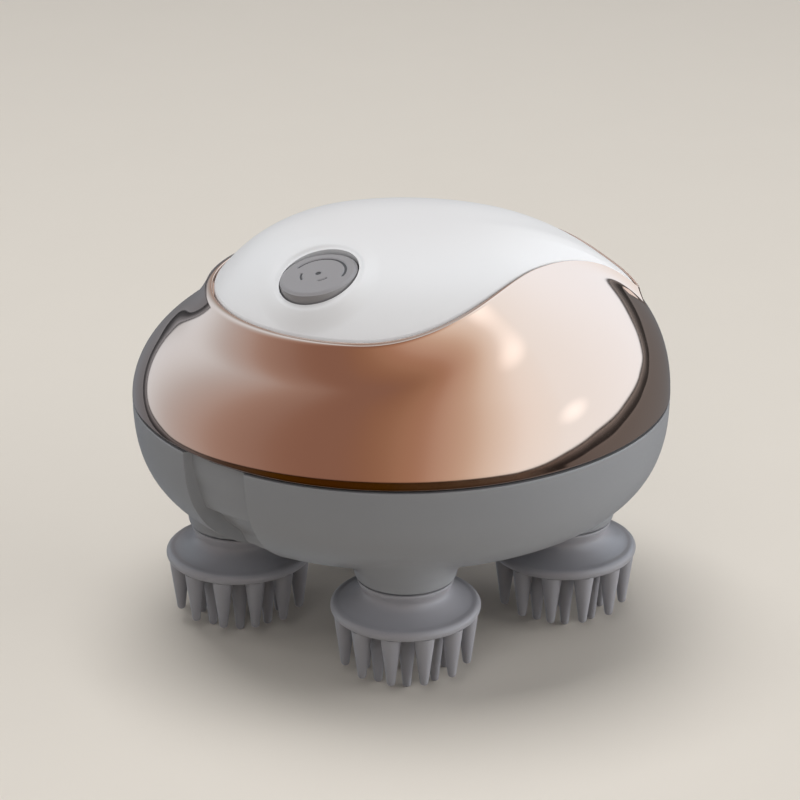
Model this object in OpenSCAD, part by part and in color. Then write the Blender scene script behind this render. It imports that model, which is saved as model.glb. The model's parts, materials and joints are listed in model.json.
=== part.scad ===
// Electric scalp massager, millimetres. Z is up and z = 0 is the table under the finger tips.
// X runs left to right along the long side, and the front with the power button faces -Y.
// A two-part housing holds a motor, two reduction stages and a flat gear train.
// The gear train turns four upright shafts, each with a soft many-fingered pad below it.

/* [Body] */
// Half length of the body at its widest level
body_half_length = 64.5; // [62:0.5:68]
// Half depth of the body at its widest level, front to back
body_half_depth = 54.5; // [53:0.5:58]
// Height of the widest level above the table
belt_height = 62; // [61:0.5:64]
// Depth that the lower curve would reach below the widest level
lower_depth = 37; // [36:0.5:38]
// Squareness of the lower curve, 2 is an ellipse
lower_squareness = 3.05; // [2.8:0.05:3.4]
// How far the flat underside lies below the widest level
underside_below = 34; // [33:0.5:34.5]
// How far the seam between the two shells lies below the widest level, at the front
seam_below = 4.8; // [4:0.1:6]
// How much higher the seam runs at the two ends
seam_lift = 2; // [0:0.5:2.5]
// Wall thickness of the two shells
wall = 2.2; // [1.8:0.1:2.6]

/* [Upper shell] */
// Rise of the dome over the widest level at the right end
right_rise = 43.3; // [41:0.1:45]
// Squareness of the dome at the right end
right_squareness = 1.96; // [1.9:0.01:2.1]
// Rise of the shoulder over the widest level on the left and the front
left_rise = 32.3; // [31:0.1:33]
// Squareness of the shoulder on the left and the front
left_squareness = 1.8; // [1.7:0.01:1.9]
// Width of the lip round the top cover
lip_width = 1.2; // [0.8:0.1:1.6]
// Height of the ridge that runs to the right end
ridge_height = 1.9; // [1:0.1:2.5]

/* [Top cover] */
// Distance from the body's middle to the middle of the round part of the cover, to the left
cover_shift = 8.35; // [7:0.05:9.5]
// Radius of the round part of the cover
cover_radius = 34.65; // [33.5:0.05:35.5]
// How far the tip of the tail stays away from the right end of the body, seen from above
tail_margin = 8.6; // [7.5:0.1:10]
// Angle over which the tail fades out on the front side
tail_front = 9.75; // [8:0.05:12]
// Angle over which the tail fades out on the back side
tail_back = 34; // [26:1:40]
// Height of the top of the cover over the widest level
cover_rise = 40; // [39:0.1:41]
// Height of the edge of the cover over the widest level, on the left and the front
edge_rise = 24.85; // [24:0.05:25.5]
// Thickness of the cover
cover_thickness = 2; // [1.6:0.1:2.2]

/* [Power button] */
// Radius of the button's face
button_radius = 9.1; // [8:0.1:9.6]
// How far the button goes down
button_travel = 0.6; // [0.4:0.1:0.8]
// Tilt of the button from the vertical
button_tilt = 18; // [14:1:21]

/* [Massage heads] */
// Distance of the left and right heads from the middle
head_reach_x = 39.775; // [39:0.005:40.5]
// Distance of the front and back heads from the middle
head_reach_y = 30.505; // [30:0.005:31]
// Radius of the rim of a pad
pad_radius = 18; // [17:0.1:18.5]
// Radius of the circle of outer fingers
outer_finger_circle = 15.1; // [14.4:0.1:15.2]
// Radius of the circle of inner fingers
inner_finger_circle = 9.43; // [9:0.01:10]
// Number of outer fingers
outer_fingers = 12; // [9:1:12]
// Number of inner fingers
inner_fingers = 8; // [6:1:8]
// Radius of a finger at its root
finger_root_radius = 2.3; // [1.8:0.05:2.4]
// Radius of a finger near its tip
finger_tip_radius = 0.95; // [0.8:0.05:1.1]

/* [Drive] */
// Radius of the four upright shafts
shaft_radius = 3; // [2.5:0.1:3.2]
// Play between a turning shaft and its hole, on the radius
running_gap = 0.04; // [0.02:0.01:0.08]
// Play between the flanks of two gears
backlash = 0.2; // [0.15:0.01:0.3]
// Tooth size of the fast stages, as a gear module
fast_module = 0.5; // [0.5:0.01:0.52]
// Radius of the motor can
motor_radius = 12.2; // [11.5:0.1:12.4]
// Radius of the battery cell
cell_radius = 7; // [6.5:0.1:7.1]
// Length of the battery cell
cell_length = 48; // [44:1:50]

/* [Hidden] */
$fn = 96;

// levels of the body
underside_height = belt_height - underside_below;
seam_height = belt_height - seam_below;
cover_top = belt_height + cover_rise;
cover_edge = belt_height + edge_rise;
tail_length = body_half_length - tail_margin + cover_shift - cover_radius;
// the collars hang below the underside, and the pads below the collars
collar_low = underside_height - 2.8;
collar_radius = 10.4;
neck_high = collar_low - 0.3;
hub_low = neck_high - 6.5;
rim_level = neck_high - 7.8;
root_level = rim_level - 1.2;

// fits
fixed_gap = 0.02;          // between a fixed pin and its hole
seam_gap = 0.6;            // open line between the two shells
cover_gap = 0.3;           // open line round the top cover
seat_gap = 0.25;           // under the top cover
deck_thickness = 2;        // of the deck that the cover sits on
lip_step = 0.4;            // rounding of the lip on its inner side

// colours from the photo
grey = [0.53, 0.54, 0.56];
pad_grey = [0.60, 0.60, 0.64];
rose = [0.80, 0.62, 0.52];
white = [0.93, 0.93, 0.93];
button_grey = [0.62, 0.61, 0.62];
steel = [0.75, 0.76, 0.78];
brass = [0.80, 0.66, 0.38];
nylon = [0.90, 0.88, 0.82];
black = [0.12, 0.12, 0.13];
board_green = [0.10, 0.34, 0.22];

// heads, in the order front, back, left, right: place and spin phase
FRONT = [0, -head_reach_y];
BACK = [0, head_reach_y];
LEFT = [-head_reach_x, 0];
RIGHT = [head_reach_x, 0];
HEADS = [FRONT, BACK, LEFT, RIGHT];

// levels of the drive
plate_low = underside_height + 13;
plate_thick = 2;
train_low = plate_low + 3;
train_high = train_low + 5;
cover_low = train_high + 1;
cover_high = cover_low + plate_thick;
sun_wheel_low = cover_high + 2;
sun_wheel_high = sun_wheel_low + 3;
compound_split = sun_wheel_high + 2.5;
compound_wheel_low = compound_split + 0.5;
compound_high = compound_wheel_low + 2.5;
bracket_low = compound_high + 1.5;
bracket_high = bracket_low + 2;
can_high = bracket_high + 25;

// ---------- shape functions of the body, shared by the shells and the cover ----------
function ramp(v, low, high) = let (t = min(1, max(0, (v - low) / (high - low)))) t * t * (3 - 2 * t);
// 0 at the right end, 1 on the left and the front
function leftness(phi) = ramp(abs(phi), 25, 95);
// angle over which the tail fades out, and "soft" rounds off its tip
function tail_spread(phi, soft) =
    tail_front + (tail_back - tail_front) * (1 - ramp(phi, 60, 150)) * ramp(phi, -soft, soft + 0.001);
function rim_radius(phi, soft = 0) =
    cover_radius + tail_length
    / (1 + pow(sqrt(phi * phi + soft * soft) / tail_spread(phi, soft), 1.05));
function rim_base(phi, soft = 0) =
    let (r = rim_radius(phi, soft)) [-cover_shift + r * cos(phi), r * sin(phi)];
// the edge of the cover, moved outwards in the plan
function rim_point(phi, out) =
    let (along = rim_base(phi + 0.5) - rim_base(phi - 0.5), t = along / norm(along))
    rim_base(phi) + out * [t[1], -t[0]];
// height of the dome over a point of the plan
function dome_height(p, w) =
    let (rise = right_rise + (left_rise - right_rise) * w,
         n = right_squareness + (left_squareness - right_squareness) * w,
         q = min(1, pow(p[0] / body_half_length, 2) + pow(p[1] / body_half_depth, 2)))
    belt_height + rise * pow(max(0, 1 - pow(q, n / 2)), 1 / n);
function rim_height(phi, soft = 0) =
    let (p = rim_base(phi, soft), w = leftness(phi))
    (1 - w) * (dome_height(p, 0) + ridge_height * exp(-pow(p[1] / 7, 2))) + w * cover_edge;
// the cover's outer face: t = 0 in the middle, t = 1 at the edge
function cover_point(phi, t) =
    let (soft = 22 * pow(1 - t, 0.7), p = rim_base(phi, soft), w = leftness(phi), e = 3.62 - 0.56 * w,
         z = rim_height(phi, soft))
    [-cover_shift + (p[0] + cover_shift) * t, p[1] * t, z + (cover_top - z) * (1 - pow(t, e))];
// the upper shell's outer face: s = 0 at the lip, s = 1 at the widest level
function shell_point(phi, s) =
    let (w = leftness(phi),
         a = rim_point(phi, cover_gap + lip_step + lip_width * w),
         b = [body_half_length * cos(phi), body_half_depth * sin(phi)],
         p = a + (b - a) * s,
         rise = (rim_height(phi) - dome_height(a, w)) * pow(max(0, 1 - s / 0.42), 3))
    [p[0], p[1], dome_height(p, w) + rise];
function drop(p, d) = [p[0], p[1], p[2] - d];
function level(p, z) = [p[0], p[1], z];
function seam_level(phi) = seam_height + seam_lift * pow(cos(phi), 2);

// columns round the body, closer together near the tail at the right end
COLUMNS = 60;
TURN = [for (i = [0 : COLUMNS - 1])
    let (u = i * 360 / COLUMNS - 180) u - 0.55 * sin(u) * 180 / PI];

// a closed solid from rings of points, one ring per level from the top down
module skin(top, rings, bottom) {
    n = len(rings[0]);
    last = len(rings) - 1;
    points = concat([top], [for (ring = rings) each ring], [bottom]);
    faces = concat(
        [for (i = [0 : n - 1]) [0, 1 + (i + 1) % n, 1 + i]],
        [for (j = [0 : 1 : last - 1], i = [0 : n - 1], half = [0, 1])
            let (a = 1 + j * n + i, b = 1 + j * n + (i + 1) % n)
            half == 0 ? [a, b, b + n] : [a, b + n, a + n]],
        [for (i = [0 : n - 1]) [1 + (last + 1) * n, 1 + last * n + i, 1 + last * n + (i + 1) % n]]);
    polyhedron(points, faces, convexity = 6);
}

// ---------- button frame: z along the button, x outwards and down the slope ----------
button_place = [-18.6, -21.2, cover_top - 4.8];
button_turn = 228;
module at_button() {
    translate(button_place) rotate([0, 0, button_turn]) rotate([0, button_tilt, 0]) children();
}
button_bore = button_radius + 0.05;
well_radius = button_bore + 1.7;
well_low = -4.6;
flange_high = well_low - 0.3;
flange_low = flange_high - 1;
stem_low = flange_low - 1.2;
board_top = stem_low - button_travel - 3.05;
board_thick = 1.2;
board_reach = 12.7;

// ---------- top cover ----------
COVER_STEPS = [0.2, 0.38, 0.54, 0.68, 0.8, 0.9, 0.965];
UNDER_STEPS = [0.9, 0.75, 0.55, 0.3];

module cover_skin() {
    round_in = 0.3;
    skin([-cover_shift, 0, cover_top],
        concat(
            [for (t = COVER_STEPS) [for (f = TURN) cover_point(f, t)]],
            [[for (f = TURN) level(rim_point(f, -round_in), rim_height(f) - 0.05)],
             [for (f = TURN) level(rim_point(f, 0), rim_height(f) - 0.45)],
             [for (f = TURN) level(rim_point(f, 0), rim_height(f) - cover_thickness)]],
            [for (t = UNDER_STEPS) [for (f = TURN) drop(cover_point(f, t), cover_thickness)]]),
        [-cover_shift, 0, cover_top - cover_thickness]);
}

module top_cover() {
    color(white) difference() {
        union() {
            difference() {
                cover_skin();
                at_button() translate([0, 0, well_low - 2]) cylinder(r = well_radius - 0.2, h = 12);
            }
            intersection() {
                cover_skin_deep();
                at_button() translate([0, 0, well_low]) cylinder(r = well_radius, h = 14);
            }
        }
        at_button() {
            translate([0, 0, well_low - 1]) cylinder(r = button_bore, h = 20);
            translate([0, 0, -0.9]) cylinder(r1 = button_bore, r2 = button_bore + 5.4, h = 5.4);
        }
    }
}

// the cover made thick, from which the tube round the button is cut
module cover_skin_deep() {
    skin([-cover_shift, 0, cover_top],
        concat(
            [for (t = COVER_STEPS) [for (f = TURN) cover_point(f, t)]],
            [[for (f = TURN) level(rim_point(f, -0.3), rim_height(f) - 0.05)],
             [for (f = TURN) level(rim_point(f, -0.3), rim_height(f) - 12)]]),
        [-cover_shift, 0, cover_edge - 12]);
}

// ---------- power button ----------
module power_button() {
    color(button_grey) at_button() difference() {
        union() {
            rotate_extrude() polygon([[0, flange_low], [button_radius + 1.1, flange_low],
                [button_radius + 1.1, flange_high], [button_radius, flange_high],
                [button_radius, -0.5], [button_radius - 0.15, -0.15], [button_radius - 0.5, 0],
                [0, 0]]);
            translate([0, 0, stem_low]) cylinder(r = 2.2, h = 2);
        }
        translate([0, 0, -0.3]) rotate_extrude() translate([5.6, 0]) square([0.5, 1]);
        translate([0, 0, -0.3]) cylinder(r = 1, h = 1);
    }
}

module button_mark() {
    color(black) at_button() {
        translate([0, 0, -0.3]) cylinder(r = 0.95, h = 0.32);
        for (side = [0, 180])
            rotate([0, 0, side]) translate([3.2, 0, 0]) cylinder(r = 0.35, h = 0.05);
    }
}

module button_membrane() {
    color(black) at_button() translate([0, 0, board_top + fixed_gap]) difference() {
        cylinder(r1 = 9, r2 = 7, h = flange_low - button_travel - 0.05 - board_top);
        translate([0, 0, -1]) cylinder(r1 = 8, r2 = 5.6, h = 9);
    }
}

// ---------- upper shell ----------
SHELL_STEPS = [0, 0.07, 0.15, 0.26, 0.4, 0.56, 0.72, 0.85, 0.94, 0.985, 1];
INNER_STEPS = [0.1, 0.28, 0.46, 0.64, 0.8, 0.93, 1];
DECK_STEPS = [0.3, 0.55, 0.75, 0.9];
// screw bosses between the heads, and the front left one further out, past the button
BOSSES = [[28.6, 22], [28.6, -22], [-29, 22], [-29, -25]];
boss_radius = 3.6;
body_screw_radius = 1.5;

function deck_drop() = cover_thickness + seat_gap;
// a point of the inner face: moved inwards and down from the outer face
function inner_point(phi, s) =
    let (p = shell_point(phi, s), d = sqrt(p[0] * p[0] + p[1] * p[1]))
    [p[0] * (1 - wall / d), p[1] * (1 - wall / d), p[2] - 0.8 * wall];

module upper_outside() {
    skin([-cover_shift, 0, cover_top - deck_drop()],
        concat(
            [for (t = DECK_STEPS) [for (f = TURN) drop(cover_point(f, t), deck_drop())]],
            [[for (f = TURN) level(rim_point(f, 0), rim_height(f) - deck_drop())],
             [for (f = TURN) level(rim_point(f, cover_gap), rim_height(f) - deck_drop())],
             [for (f = TURN) level(rim_point(f, cover_gap), rim_height(f) - 0.3)],
             [for (f = TURN) level(rim_point(f, cover_gap + lip_step), rim_height(f))]],
            [for (s = SHELL_STEPS) [for (f = TURN) shell_point(f, s)]],
            [[for (f = TURN) level(shell_point(f, 1), seam_level(f) + seam_gap / 2)]]),
        [0, 0, seam_height]);
}

module upper_inside() {
    under = deck_drop() + deck_thickness;
    skin([-cover_shift, 0, cover_top - under],
        concat(
            [for (t = [0.3, 0.55, 0.75]) [for (f = TURN) drop(cover_point(f, t), under)]],
            [[for (f = TURN) drop(cover_point(f, 1 - 3.2 / rim_radius(f)), under)]],
            [for (s = INNER_STEPS) [for (f = TURN) inner_point(f, s)]],
            [[for (f = TURN) level(inner_point(f, 1), seam_level(f) - 4)]]),
        [0, 0, seam_height - 6]);
}

module upper_shell() {
    color(rose) difference() {
        upper_outside();
        difference() {
            upper_inside();
            for (p = BOSSES) translate([p[0], p[1], seam_height + 0.3]) cylinder(r = boss_radius, h = 50);
            at_button() for (side = [-1, 1])
                translate([0, side * board_reach, board_top]) cylinder(r = 1.6, h = 20);
        }
        for (p = BOSSES) translate([p[0], p[1], seam_height - 1.2])
            cylinder(r = body_screw_radius + fixed_gap, h = 16);
        at_button() {
            translate([0, 0, well_low - 6]) cylinder(r = well_radius + 0.3, h = 26);
            for (side = [-1, 1])
                translate([0, side * board_reach, board_top - 1]) cylinder(r = 0.8 + fixed_gap, h = 4);
        }
    }
}

// ---------- lower shell ----------
// depth of the hand recess between the front and left heads
RECESS_TURNS = [-142.9, -142.2, -138, -134, -130, -126.3, -125.6];
LOWER_TURN = concat([for (f = [-180 : 6.2 : -144]) f], RECESS_TURNS,
                    [for (f = [-120 : 6 : 174]) f]);
LOWER_STEPS = [0, 0.22, 0.42, 0.48, 0.6, 0.72, 0.83, 0.92, 1];

function recess_window(phi, more) =
    phi < -142.5 - more || phi > -126 + more ? 0 : 1;
function recess_depth(phi, z, more) =
    recess_window(phi, more) * ramp(z, underside_height + 1, underside_height + 7)
    * (2 + 0.8 * ramp(seam_height - z, 3.2, 8.2) + 2.4 * ramp(seam_height - z, 14.2, 16.2));
// point of the lower shell at a level, moved inwards by "inset"
function lower_point(phi, z, inset, more) =
    let (k = pow(max(0, 1 - pow(max(0, belt_height - z) / (lower_depth - inset), lower_squareness)),
                 1 / lower_squareness),
         d = inset + recess_depth(phi, z, more))
    [((body_half_length - inset) * k - d + inset) * cos(phi),
     ((body_half_depth - inset) * k - d + inset) * sin(phi), z];

module lower_outside() {
    top = [for (f = LOWER_TURN) seam_level(f) - seam_gap / 2];
    skin([0, 0, seam_height],
        [for (t = LOWER_STEPS) [for (i = [0 : len(LOWER_TURN) - 1])
            lower_point(LOWER_TURN[i], top[i] + (underside_height - top[i]) * t, 0, 0)]],
        [0, 0, underside_height]);
}

INNER_TURN = concat([for (f = [-180 : 6 : -150]) f], [-145.3, -144.6, -138, -131, -124, -123.2],
                    [for (f = [-116 : 8 : 172]) f]);
module lower_inside() {
    floor_level = underside_height + wall;
    skin([0, 0, belt_height + 1],
        [for (t = [0, 0.25, 0.45, 0.52, 0.7, 0.85, 1]) [for (f = INNER_TURN)
            let (z = belt_height + (floor_level - belt_height) * t)
            lower_point(f, z, wall, 2.5)]],
        [0, 0, floor_level]);
}

PLATE_SCREWS = [[-21, -13.5], [21, 13.5], [-20, 20], [20, -20]];
plate_screw_radius = 1.2;
pocket_high = underside_height + 6;
port_turn = 132;
port_level = seam_height - 7.7;
port_normal = atan2(sin(port_turn) / body_half_depth, cos(port_turn) / body_half_length);
port_wall = lower_point(port_turn, port_level, 0, 0);
module at_port() {
    translate(port_wall) rotate([0, 0, port_normal]) children();
}
bush_low = collar_low + 2.8;
bush_high = plate_low - 3;
bush_radius = 5.5;
seal_low = collar_low + 0.5;
seal_radius = 6.5;
housing_radius = 9;

module collar_outside() {
    translate([0, 0, collar_low]) rotate_extrude() polygon([[0, 0], [collar_radius, 0],
        [collar_radius + 0.5, 0.5], [12.2, 3.4], [14.3, 7.2], [15.4, 10.1], [0, 10.1]]);
}

module lower_shell() {
    color(grey) difference() {
        union() {
            lower_outside();
            for (h = HEADS) translate(h) collar_outside();
        }
        difference() {
            lower_inside();
            translate([0, 0, collar_low]) {
                for (h = HEADS) translate(h) cylinder(r = housing_radius, h = plate_low - 1.5 - collar_low);
                for (p = BOSSES) translate(p) cylinder(r = 4, h = seam_height - 0.2 - collar_low);
                for (p = PLATE_SCREWS) translate(p) cylinder(r = 3, h = plate_low - seat_gap - collar_low);
            }
            at_port() for (side = [-1, 1])
                translate([-8, side * 5.5, -29]) cylinder(r = 2, h = 25.6);
        }
        for (h = HEADS) translate(h) {
            translate([0, 0, collar_low - 5]) cylinder(r = seal_radius + fixed_gap, h = 7.6);
            translate([0, 0, collar_low + 2]) cylinder(r = bush_radius + fixed_gap, h = 14);
        }
        for (p = BOSSES) translate([p[0], p[1], pocket_high - 14]) {
            cylinder(r = 3.2, h = 14);
            cylinder(r = body_screw_radius + fixed_gap, h = 50);
        }
        for (p = PLATE_SCREWS) translate([p[0], p[1], plate_low - 8])
            cylinder(r = plate_screw_radius + fixed_gap, h = 10);
        at_port() {
            translate([-12, -4.6, -2.25]) cube([20, 9.2, 3.85]);
            translate([-0.5, -6.6, -3.6]) rounded_slab(13.2, 7.2, 6);
            for (side = [-1, 1]) translate([-8, side * 5.5, -9]) cylinder(r = 0.8 + fixed_gap, h = 8);
        }
    }
}

// ---------- gasket in the seam ----------
module seam_ring(out, in, up, down) {
    difference() {
        skin([0, 0, seam_height], [for (v = [up, down])
            [for (f = TURN) [(body_half_length - out) * cos(f), (body_half_depth - out) * sin(f),
                             seam_level(f) + v]]], [0, 0, seam_height]);
        skin([0, 0, seam_height + 3], [for (v = [up + 4, down - 4])
            [for (f = TURN) [(body_half_length - in) * cos(f), (body_half_depth - in) * sin(f),
                             seam_level(f) + v]]], [0, 0, seam_height - 3]);
    }
}

module seam_gasket() {
    color(black) seam_ring(0.9, 2, 0.25, -0.25);
}

// ---------- gears ----------
function involute(a) = tan(a) * 180 / PI - a;
// half the angle that a tooth takes at radius r
function tooth_half(n, m, r) =
    90 / n + involute(20) - involute(acos(min(1, n * m * cos(20) / 2 / r)))
    - backlash / 2 / (n * m) * 180 / PI;
function polar(r, a) = [r * cos(a), r * sin(a)];
function gear_outline(n, m, phase) =
    let (rp = n * m / 2, ra = rp + 0.95 * m, rf = rp - 1.2 * m, rb = max(rf + 0.05, rp * cos(20)),
         hb = tooth_half(n, m, rb), hp = tooth_half(n, m, rp), ha = tooth_half(n, m, ra))
    [for (i = [0 : n - 1]) let (c = phase + i * 360 / n)
        each [polar(rf, c - hb), polar(rp, c - hp), polar(ra, c - ha),
              polar(ra, c + ha), polar(rp, c + hp), polar(rf, c + hb)]];
module gear(n, m, phase, low, high) {
    translate([0, 0, low]) linear_extrude(high - low) polygon(gear_outline(n, m, phase));
}
// phase of gear 2, seen from gear 1 in direction "a", so that teeth meet gaps
function mesh(phase, n1, n2, a) = a + 180 - (0.5 - (a - phase) * n1 / 360) * 360 / n2;

SUN = 36;
IDLER = 12;
OUTPUT = 24;
train_module = head_reach_y * 2 / (SUN + OUTPUT);
WHEEL = 50;
PINION = 10;
sun_to_idler = (SUN + IDLER) / 2 * train_module;
idler_to_output = (IDLER + OUTPUT) / 2 * train_module;
idler_x = (pow(head_reach_x, 2) + pow(sun_to_idler, 2) - pow(idler_to_output, 2)) / 2 / head_reach_x;
idler_y = sqrt(pow(sun_to_idler, 2) - pow(idler_x, 2));
LEFT_IDLER = [-idler_x, idler_y];
RIGHT_IDLER = [idler_x, -idler_y];
stage_distance = (WHEEL + PINION) / 2 * fast_module;
front_phase = mesh(0, SUN, OUTPUT, -90);
back_phase = mesh(0, SUN, OUTPUT, 90);
left_turn = atan2(LEFT_IDLER[1], LEFT_IDLER[0]);
right_turn = atan2(RIGHT_IDLER[1], RIGHT_IDLER[0]);
left_idler_phase = mesh(0, SUN, IDLER, left_turn);
right_idler_phase = mesh(0, SUN, IDLER, right_turn);
left_phase = mesh(left_idler_phase, IDLER, OUTPUT, atan2(-idler_y, idler_x - head_reach_x));
right_phase = mesh(right_idler_phase, IDLER, OUTPUT, atan2(idler_y, head_reach_x - idler_x));

module output_gear(place, phase) {
    color(nylon) translate(place) difference() {
        union() {
            gear(OUTPUT, train_module, phase, train_low, train_high);
            translate([0, 0, train_low - 0.8]) cylinder(r = 6, h = train_high - train_low + 1.6);
        }
        translate([0, 0, train_low - 2]) cylinder(r = shaft_radius + fixed_gap, h = 10);
        for (i = [0 : 5]) rotate([0, 0, i * 60]) translate([8.5, 0, train_low - 2])
            cylinder(r = 1.7, h = 10);
    }
}
module output_gear_front() output_gear(FRONT, front_phase);
module output_gear_back() output_gear(BACK, back_phase);
module output_gear_left() output_gear(LEFT, left_phase);
module output_gear_right() output_gear(RIGHT, right_phase);

module sun_gear() {
    color(nylon) difference() {
        gear(SUN, train_module, 0, train_low, train_high);
        translate([0, 0, train_low - 1]) cylinder(r = 2 + fixed_gap, h = 10);
        for (i = [0 : 5]) rotate([0, 0, i * 60]) translate([10.4, 0, train_low - 1])
            cylinder(r = 4, h = 10);
    }
}

module sun_wheel() {
    color(nylon) difference() {
        union() {
            gear(WHEEL, fast_module, 0, sun_wheel_low, sun_wheel_high);
            translate([0, 0, cover_high + 0.3]) cylinder(r = 4, h = sun_wheel_high - cover_high);
        }
        translate([0, 0, cover_high]) cylinder(r = 2 + fixed_gap, h = 10);
    }
}

module sun_axle() {
    color(steel) translate([0, 0, plate_low - 0.8]) cylinder(r = 2, h = sun_wheel_high - plate_low + 1);
}

module compound_gear() {
    phase = mesh(0, WHEEL, PINION, 180);
    color(nylon) translate([-stage_distance, 0, 0]) difference() {
        union() {
            gear(PINION, fast_module, phase, sun_wheel_low - 0.5, compound_split + 0.6);
            gear(WHEEL, fast_module, 0, compound_wheel_low, compound_high);
            translate([0, 0, compound_split]) cylinder(r = 3.4, h = compound_high - compound_split + 0.8);
            translate([0, 0, cover_high + 0.3]) cylinder(r = 1.9, h = 2);
        }
        translate([0, 0, cover_high]) cylinder(r = 1 + running_gap, h = 20);
    }
}

module compound_axle() {
    color(steel) translate([-stage_distance, 0, cover_low + 0.2])
        cylinder(r = 1, h = bracket_high - cover_low - 0.4);
}

module idler(place, phase) {
    color(nylon) translate(place) difference() {
        union() {
            gear(IDLER, train_module, phase, train_low, train_high);
            translate([0, 0, plate_low + plate_thick + 0.2])
                cylinder(r = 2.8, h = cover_low - plate_low - plate_thick - 0.4);
        }
        translate([0, 0, plate_low]) cylinder(r = 1.5 + running_gap, h = 12);
    }
}
module idler_left() idler(LEFT_IDLER, left_idler_phase);
module idler_right() idler(RIGHT_IDLER, right_idler_phase);

module idler_axles() {
    color(steel) for (p = [LEFT_IDLER, RIGHT_IDLER])
        translate([p[0], p[1], plate_low + 0.1]) cylinder(r = 1.5, h = cover_high - plate_low - 0.2);
}

// ---------- shafts, hubs and pads ----------
module output_shaft(place) {
    color(steel) translate(place) translate([0, 0, hub_low + 0.4])
        cylinder(r = shaft_radius, h = cover_high - hub_low - 0.6);
}
module output_shaft_front() output_shaft(FRONT);
module output_shaft_back() output_shaft(BACK);
module output_shaft_left() output_shaft(LEFT);
module output_shaft_right() output_shaft(RIGHT);

module head_hub(place) {
    color(black) translate(place) difference() {
        union() {
            translate([0, 0, hub_low]) cylinder(r = 8, h = neck_high - hub_low);
            translate([0, 0, hub_low - 0.8]) cylinder(r = 12.5, h = 1.8);
        }
        translate([0, 0, hub_low]) cylinder(r = shaft_radius + fixed_gap, h = 10);
    }
}
module head_hub_front() head_hub(FRONT);
module head_hub_back() head_hub(BACK);
module head_hub_left() head_hub(LEFT);
module head_hub_right() head_hub(RIGHT);

module finger(tip) {
    r = finger_tip_radius;
    rotate_extrude() polygon([[0, tip], [0.5 * r, tip], [0.87 * r, tip + 0.28 * r], [r, tip + 0.9 * r],
        [finger_root_radius * 0.86, root_level - 2.2], [finger_root_radius + 0.5, root_level + 0.5],
        [0, root_level + 0.5]]);
}

module massage_pad(place) {
    s = pad_radius;
    color(pad_grey) translate(place) difference() {
        union() {
            rotate_extrude() polygon([[0, root_level], [s - 1.3, root_level], [s - 0.45, rim_level - 0.85],
                [s, rim_level], [s - 0.3, rim_level + 0.95], [s - 1.1, rim_level + 1.5],
                [s - 2.3, rim_level + 1.75], [s - 4.2, rim_level + 2.6], [s - 5.9, rim_level + 4],
                [11, neck_high - 2.3], [10.5, neck_high - 0.9], [10.3, neck_high - 0.3], [10, neck_high],
                [0, neck_high]]);
            for (i = [0 : outer_fingers - 1]) rotate([0, 0, -75 + i * 360 / outer_fingers])
                translate([outer_finger_circle, 0, 0]) finger(3);
            for (i = [0 : inner_fingers - 1]) rotate([0, 0, -90 + i * 360 / inner_fingers])
                translate([inner_finger_circle, 0, 0]) finger(0);
            finger(0);
        }
        translate([0, 0, hub_low]) cylinder(r = 8 + fixed_gap, h = 10);
        translate([0, 0, hub_low - 0.8 - fixed_gap]) cylinder(r = 12.5 + fixed_gap, h = 1.84);
    }
}
module massage_pad_front() massage_pad(FRONT);
module massage_pad_back() massage_pad(BACK);
module massage_pad_left() massage_pad(LEFT);
module massage_pad_right() massage_pad(RIGHT);

module shaft_bushes() {
    color(brass) for (h = HEADS) translate([h[0], h[1], bush_low]) difference() {
        cylinder(r = bush_radius, h = bush_high - bush_low);
        translate([0, 0, -1]) cylinder(r = shaft_radius + running_gap, h = 20);
    }
}

module shaft_seals() {
    color(black) for (h = HEADS) translate([h[0], h[1], seal_low]) difference() {
        cylinder(r = seal_radius, h = 2);
        translate([0, 0, -1]) cylinder(r = shaft_radius + running_gap, h = 6);
    }
}

// ---------- plates that carry the train ----------
plate_radius = 31;
plate_lobe = 9.5;
module plate_blank(low, high) {
    translate([0, 0, low]) {
        cylinder(r = plate_radius, h = high - low);
        for (h = HEADS) translate(h) cylinder(r = plate_lobe, h = high - low);
        translate([-head_reach_x, -plate_lobe, 0]) cube([2 * head_reach_x, 2 * plate_lobe, high - low]);
    }
}

module gear_plate() {
    low = plate_low;
    color(nylon) difference() {
        union() {
            plate_blank(low, low + plate_thick);
            translate([0, 0, low - 2.5]) cylinder(r = 4.5, h = 3);
        }
        for (h = HEADS) translate([h[0], h[1], low - 1]) cylinder(r = shaft_radius + running_gap, h = 10);
        for (p = [LEFT_IDLER, RIGHT_IDLER]) translate([p[0], p[1], low - 1])
            cylinder(r = 1.5 + fixed_gap, h = 10);
        for (p = PLATE_SCREWS) translate([p[0], p[1], low - 1])
            cylinder(r = plate_screw_radius + fixed_gap, h = 10);
        translate([0, 0, low - 1]) cylinder(r = 2 + running_gap, h = 10);
    }
}

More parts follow.
